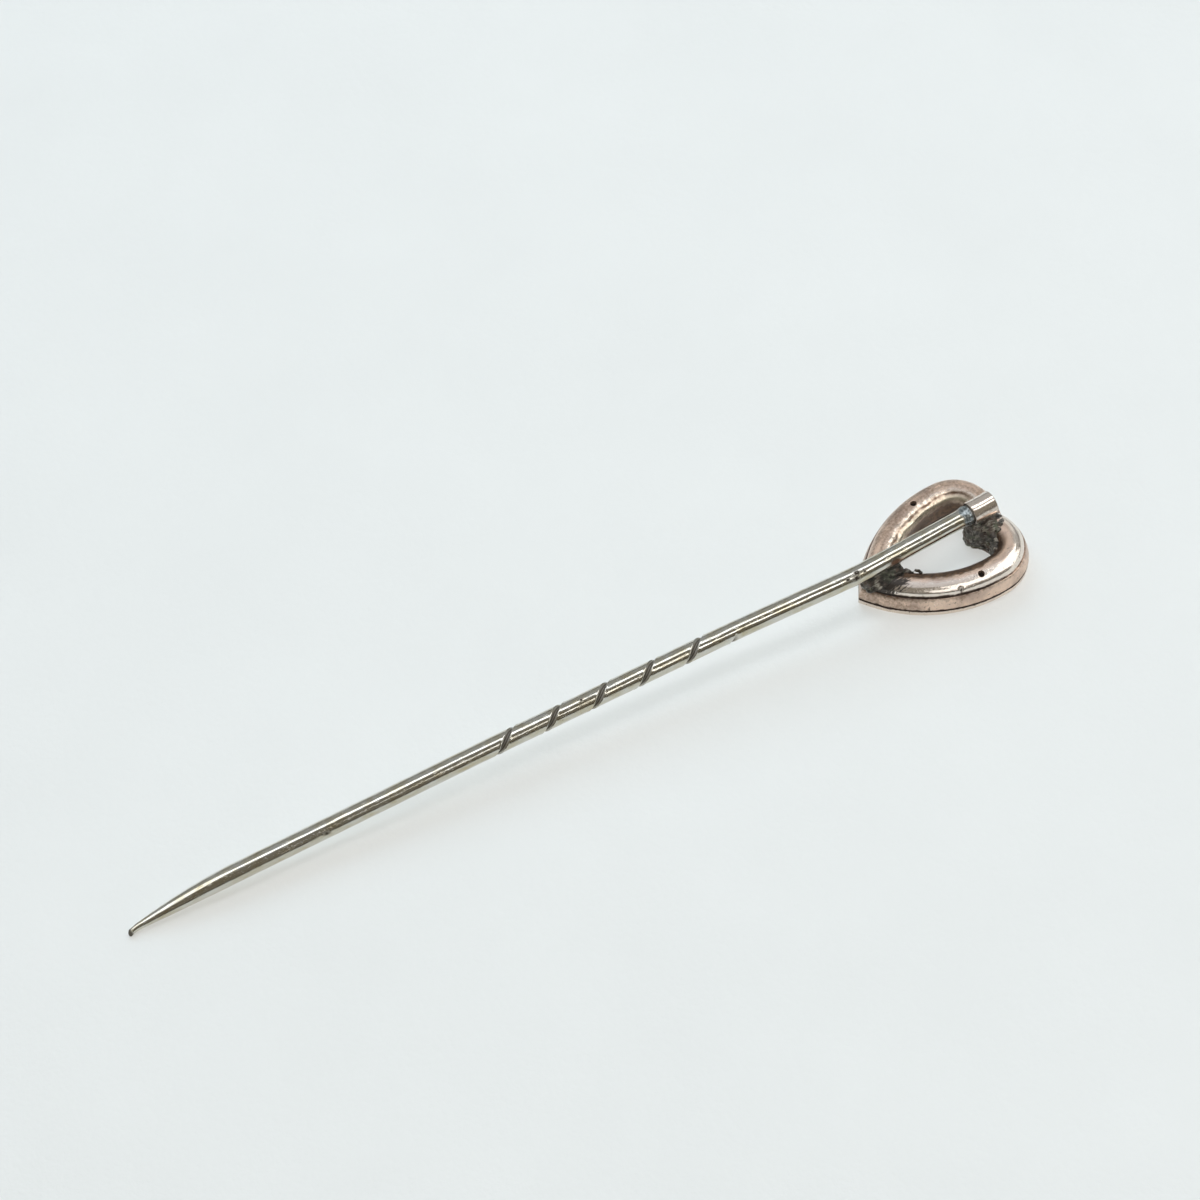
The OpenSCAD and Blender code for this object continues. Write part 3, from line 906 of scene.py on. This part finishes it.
class PIN_OT_sleeve(bpy.types.Operator):
    """Short rose gold sleeve round the stem's end"""

    bl_idname = "pin.sleeve"
    bl_label = "Sleeve"

    def execute(self, context):
        s = context.scene.pin_stem_sizes
        lay = Layout(context)
        outer, inner = mm(s, "sleeve_d") / 2, lay.shank_r + mm(s, "sleeve_gap")
        length = mm(s, "sleeve_len")
        rows = [(inner, 0.03), (inner + 0.03, 0.0), (outer - 0.05, 0.0), (outer - 0.012, 0.015),
                (outer, 0.06)]
        rows += [(outer - 0.012 * math.sin(math.pi * k / 8), 0.06 + (length - 0.12) * k / 8)
                 for k in range(1, 8)]
        rows += [(outer, length - 0.06), (outer - 0.012, length - 0.015),
                 (outer - 0.05, length), (inner + 0.03, length), (inner, length - 0.03)]
        bm = bmesh.new()
        bmesh.ops.spin(bm, geom=closed_line(bm, [(r, 0, z) for r, z in rows]), cent=(0, 0, 0),
                       axis=(0, 0, 1), dvec=(0, 0, 0), angle=math.tau, steps=72, use_merge=True)
        weld(bm)
        grime, rub, film = new_layers(bm, "grime", "rub", "film")
        for v in bm.verts:
            p = v.co
            # Degrees round the sleeve, from its far side over its top to its underside.
            round_at = math.degrees(math.atan2(-p.y, -p.x))
            v[rub] = 0.9
            # The lower half is painted brown, partly film and partly painted shade; the lowest part
            # and the inside of the bore are painted shade; both ends are darker.
            v[film] = 0.26 * soft_step(44, 58, round_at + 10 * rough(p, 0.5, 4.1))
            dark = max(0.35 * (1 - soft_step(0.0, 0.08, p.z)), 0.8 * soft_step(104, 118, round_at))
            if p.xy.length < outer - 0.08:
                dark = 0.85
            if p.z > length - 0.01:
                dark = max(dark, 0.6)
            v[grime] = dark
            v.co.xy *= 1 + 0.012 * rough(p, 0.8, 2.2)
        finish(bm, "sleeve", "rose_gold", "stem_sleeve",
               lay.rider @ Matrix.Translation((0, 0, lay.sleeve_at)))
        return {"FINISHED"}


def lumpy(name, lay, balls, cad_node, seed, soot_and_shade_amount):
    """Melts balls of (x, y, z, radius) in the heart's plan into one rough mass."""
    grain = 0.05
    bm = bmesh.new()
    for x, y, z, r in balls:
        bmesh.ops.create_icosphere(bm, subdivisions=3, radius=r,
                                   matrix=Matrix.Translation((x, y, z)))
    piece = finish(bm, name, "solder", cad_node, lay.heart)
    melt = piece.modifiers.new("melt", "REMESH")
    melt.mode, melt.voxel_size, melt.use_smooth_shade = "VOXEL", grain * MM, True
    apply_modifiers(piece)
    bm = bmesh.new()
    bm.from_mesh(piece.data)
    for _ in range(3):
        bmesh.ops.smooth_vert(bm, verts=bm.verts, factor=0.5, use_axis_x=True, use_axis_y=True,
                              use_axis_z=True)
    bm.normal_update()
    soot, = new_layers(bm, "soot")
    for v in bm.verts:
        p = v.co / MM
        lift = 0.06 * rough(p, 0.45, seed) + 0.045 * rough(p, 0.17, seed + 4)
        v.co += v.normal * lift * MM
        v.co.z = max(v.co.z, 0.01 * MM)
        # Patches of the mass are painted darker as shade, the more the higher the amount.
        v[soot] = soot_and_shade_amount * soft_step(-0.35, 0.3, rough(p, 0.3, seed + 9))
    bm.to_mesh(piece.data)
    bm.free()


class PIN_OT_solder(bpy.types.Operator):
    """Dark oxidised solder at the heart's point and in its cleft"""

    bl_idname = "pin.solder"
    bl_label = "Solder"

    def execute(self, context):
        lay = Layout(context)
        # Balls of the cleft's mass, under the sleeve and out to the near lobe.
        cleft = [(8.5, 0.0, 2.05, 0.48), (9.0, -0.3, 1.95, 0.5), (9.5, -0.42, 1.86, 0.42),
                 (9.72, -0.3, 1.68, 0.3), (9.2, -0.85, 1.8, 0.4), (8.8, -0.6, 1.9, 0.5),
                 (9.0, 0.25, 1.85, 0.45), (9.5, 0.0, 1.75, 0.45), (8.9, -1.2, 1.62, 0.36),
                 (9.72, -0.66, 1.78, 0.22), (9.58, -0.84, 1.92, 0.3), (9.38, -1.04, 1.96, 0.3),
                 (9.12, -1.22, 1.92, 0.28)]
        # Columns of balls down the heart's inner side, as (x, y, top, radius).
        walls = ((8.02, 0.25, 2.2, 0.3), (8.0, -0.05, 2.2, 0.3), (8.12, -0.35, 1.95, 0.3),
                 (8.45, -0.62, 1.9, 0.33), (8.72, -0.98, 1.8, 0.33), (8.78, -1.38, 1.65, 0.3),
                 (8.66, -1.78, 1.6, 0.26), (8.4, -2.1, 1.6, 0.22))
        foot = 0.28
        for x, y, top, r in walls:
            cleft += [(x, y, foot + (top - foot) * k / 7, r) for k in range(8)]
        lumpy("cleft_solder_mass", lay, cleft, "cleft_solder", 1.3, 0.15)
        # The point's mass: two rows under the stem, and crumbs along the near inner edge.
        point = [(2.5, -0.25, 2.25, 0.26), (2.52, -0.5, 2.12, 0.26), (2.45, -0.8, 2.08, 0.22)]
        for k in range(15):
            t = k / 14
            x = 0.38 + 2.0 * t
            point.append((x, -0.3 - 0.2 * t, 2.14, 0.4))
            point.append((x, -0.62 - 0.12 * math.sin(3 * t), 1.9 + 0.12 * t, 0.26))
        point += [(2.85, -0.72, 1.98, 0.15), (3.02, -0.86, 1.98, 0.13), (3.1, -1.0, 1.95, 0.1),
                  (3.36, -1.02, 2.04, 0.12), (3.44, -1.16, 2.06, 0.13), (3.5, -1.34, 2.02, 0.12)]
        # The point's mass lies under the stem and is painted darker as shade.
        lumpy("point_solder_mass", lay, point, "point_solder", 6.1, 0.7)
        return {"FINISHED"}


# The photograph's view: dip, swing and roll in degrees, and the place, in mm from below the tip.
CAMERA_TURNS = (55.232, 21.789, -6.010)
CAMERA_PLACE = (-4.548, -88.149, 148.050)


class PIN_OT_stage(bpy.types.Operator):
    """Pale floor, soft lights and the camera at the photograph's angle"""

    bl_idname = "pin.stage"
    bl_label = "Stage"

    def execute(self, context):
        self.floor()
        self.sky(context)
        self.lights(context)
        self.camera(context)
        context.scene.view_settings.view_transform = "Standard"
        return {"FINISHED"}

    @staticmethod
    def floor():
        bm = bmesh.new()
        bmesh.ops.create_grid(bm, x_segments=1, y_segments=1, size=3)
        floor = new_object(bm, "floor")
        floor.data.materials.append(MATERIALS["board"])

    @staticmethod
    def sky(context):
        """A dim room, taupe towards the camera and olive grey beyond, darker near the floor."""
        world = bpy.data.worlds.new("room")
        context.scene.world = world
        world.use_nodes = True
        tree = world.node_tree
        way = node(tree, "TexCoord").outputs["Generated"]
        parts = node(tree, "SeparateXYZ", {"Vector": way}).outputs
        colours = context.scene.pin_colours
        tint = fade(tree, spread(tree, parts["Y"], -0.35, 0.35), colours.room_near,
                    colours.room_far)
        plug(tree, tree.nodes["Background"],
             {"Color": tint, "Strength": spread(tree, parts["Z"], 0.0, 0.35, 0.3)})

    @staticmethod
    def lights(context):
        """Rows of name, place, long side, size, radiance, colour and the pieces each lamp lights.

        The last two light everything without being seen in metal, and the first of them alone
        casts shadows. The rest are the bright shapes that the metal mirrors, and cast none.
        """
        x, y = (1, 0, 0), (0, 1, 0)
        rows = (
            ("card_front", (0.2, -0.36, 0.3), x, (0.55, 0.24), 1.5, "#ffffff", "heart"),
            ("card_left", (-0.07, -0.46, 0.18), x, (0.2, 0.16), 1.3, "#ffffff", "heart"),
            ("card_right", (0.44, -0.22, 0.2), y, (0.35, 0.36), 1.35, "#ffffff", "heart"),
            ("card_top", (0.02, 0.0, 0.55), x, (0.5, 0.75), 0.46, "#eef2ff", "heart"),
            ("card_edge", (0.324, -0.107, 0.385), y, (0.4, 0.26), 1.9, "#ffffff", "heart"),
            ("card_back", (0.124, 0.42, 0.245), x, (1.0, 0.35), 0.36, "#fbf6f0", "heart"),
            ("band", (0.2, -0.135, 0.445), x, (0.24, 0.1), 2.6, "#ffffff", "sleeve"),
            ("over", (0.14, 0.09, 0.5), x, (0.47, 0.14), 2.8, "#f8fbff", "stem sleeve solder floor"),
            ("over_tip", (-0.17, 0.12, 0.48), x, (0.2, 0.36), 1.8, "#f8fbff", "stem"),
            ("window", (0.264, -0.229, 0.357), (0.63, 0.5, -0.29), (0.565, 0.085), 3.2, "#ffffff",
             "stem solder floor"),
            ("soft", (0.05, 0.42, 0.32), x, (0.5, 0.3), 2.05, "#ccecff", ""),
            ("fill", (0.0, 0.0, 0.7), x, (0.8, 0.8), 1.52, "#fffbf6", ""),
        )
        for name, at, along, sides, radiance, code, lit in rows:
            lamp = bpy.data.lights.new(name, "AREA")
            lamp.shape, lamp.size, lamp.size_y = "RECTANGLE", *sides
            lamp.energy = radiance * math.pi * sides[0] * sides[1]
            lamp.color, lamp.use_shadow = linear(code), name == "soft"
            lamp.cycles.use_multiple_importance_sampling = bool(lit)
            place = bpy.data.objects.new(name, lamp)
            place.location = at
            back = (Vector(at) - Vector((0.015, 0, 0))).normalized()
            across = Vector(along)
            across = (across - across.dot(back) * back).normalized()
            basis = Matrix((across, back.cross(across), back)).transposed()
            place.rotation_mode = "QUATERNION"
            place.rotation_quaternion = basis.to_quaternion()
            place.visible_glossy = bool(lit)
            if lit:
                group = bpy.data.collections.new("lit by " + name)
                for piece in context.scene.objects:
                    if piece.type == "MESH" and any(word in piece.name for word in lit.split()):
                        group.objects.link(piece)
                place.light_linking.receiver_collection = group
            context.scene.collection.objects.link(place)

    @staticmethod
    def camera(context):
        lay = Layout(context)
        dip, swing, roll = (math.radians(a) for a in CAMERA_TURNS)
        right = Vector((math.cos(swing), -math.sin(swing), 0))
        ahead = Vector((math.sin(swing), math.cos(swing), 0))
        rise = Vector((0, 0, 1))
        look = ahead * math.cos(dip) - rise * math.sin(dip)
        top = ahead * math.sin(dip) + rise * math.cos(dip)
        across = right * math.cos(roll) + top * math.sin(roll)
        up = top * math.cos(roll) - right * math.sin(roll)
        cam = bpy.data.cameras.new("camera")
        cam.sensor_width, cam.lens = 36, 90
        cam.clip_start, cam.clip_end = 0.005, 10
        eye = bpy.data.objects.new("camera", cam)
        place = lay.plan @ Vector(CAMERA_PLACE)
        basis = Matrix((across, up, -look)).transposed().to_4x4()
        eye.rotation_mode = "QUATERNION"
        eye.location = place * MM
        eye.rotation_quaternion = basis.to_quaternion()
        context.scene.collection.objects.link(eye)
        context.scene.camera = eye


class PIN_PT_panel(bpy.types.Panel):
    """The pin's pieces, in the order they are made"""

    bl_idname = "PIN_PT_panel"
    bl_label = "Stick pin"
    bl_space_type = "VIEW_3D"
    bl_region_type = "UI"
    bl_category = "Stick pin"

    def draw(self, context):
        for made in OPERATORS:
            self.layout.operator(made.bl_idname)
        for group in (getattr(context.scene, name) for name in GROUPS):
            box = self.layout.box()
            for name in group.bl_rna.properties.keys():
                if name not in ("rna_type", "name"):
                    box.prop(group, name)


# The groups of properties, by their names in the scene, and the pieces in the order they are made.
GROUPS = {"pin_stem_sizes": StemSizes, "pin_heart_sizes": HeartSizes, "pin_colours": PinColours}
OPERATORS = (PIN_OT_stem, PIN_OT_heart_back, PIN_OT_heart_front, PIN_OT_sleeve, PIN_OT_solder,
             PIN_OT_stage)
CLASSES = (*GROUPS.values(), *OPERATORS, PIN_PT_panel)


def register():
    for made in CLASSES:
        bpy.utils.register_class(made)
    for name, group in GROUPS.items():
        setattr(bpy.types.Scene, name, bpy.props.PointerProperty(type=group))


def unregister():
    for name in GROUPS:
        delattr(bpy.types.Scene, name)
    for made in reversed(CLASSES):
        bpy.utils.unregister_class(made)


def main():
    register()
    colours = bpy.context.scene.pin_colours
    MATERIALS.update(rose_gold=rose_gold(colours), silver=silver(colours),
                     solder=oxidised_solder(colours), board=pale_board(colours))
    bpy.ops.pin.stem()
    bpy.ops.pin.heart_back()
    bpy.ops.pin.heart_front()
    bpy.ops.pin.sleeve()
    bpy.ops.pin.solder()
    bpy.ops.pin.stage()


if __name__ == "__main__":
    main()
